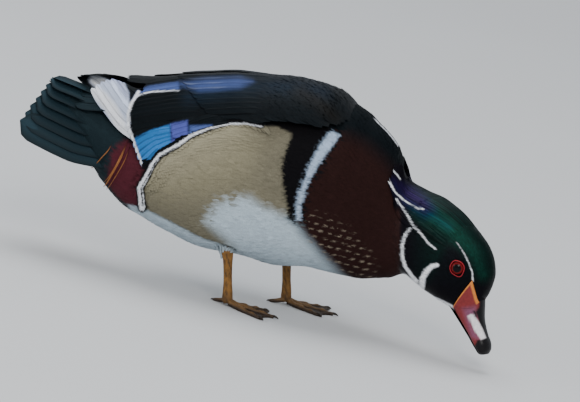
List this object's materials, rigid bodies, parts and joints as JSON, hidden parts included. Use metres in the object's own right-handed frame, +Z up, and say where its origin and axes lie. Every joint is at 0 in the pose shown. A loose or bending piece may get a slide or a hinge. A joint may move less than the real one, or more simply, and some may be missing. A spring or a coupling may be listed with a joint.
{
  "type": "wood duck",
  "caption": "Life-size still model of a drake wood duck standing with its head lowered, folded wings, crested head and webbed feet flat on the ground.",
  "frame": {"origin": "on the floor, under the middle of the whole model", "axes": "+X the way the bird faces, +Z up; its right side is -Y"},
  "size_m": [0.4094, 0.1188, 0.1866],
  "materials": {
    "flank_plumage": "matte",
    "breast_plumage": "matte",
    "head_plumage": "satin",
    "bill_red": "satin",
    "bill_black": "satin",
    "eye": "gloss",
    "wing_plumage": "satin",
    "tail_plumage": "satin",
    "thigh_plumage": "matte",
    "leg_skin": "satin",
    "foot_skin": "satin"
  },
  "bodies": {
    "root": {"torso": "flank_plumage", "neck": "breast_plumage", "head": "head_plumage", "bill_upper": "bill_red", "bill_lower": "bill_black", "eye_right": "eye", "eye_left": "eye", "wing_right": "wing_plumage", "wing_left": "wing_plumage", "tail": "tail_plumage", "thigh_right": "thigh_plumage", "thigh_left": "thigh_plumage", "tarsus_right": "leg_skin", "tarsus_left": "leg_skin", "foot_right": "foot_skin", "foot_left": "foot_skin"}
  },
  "joints": []
}
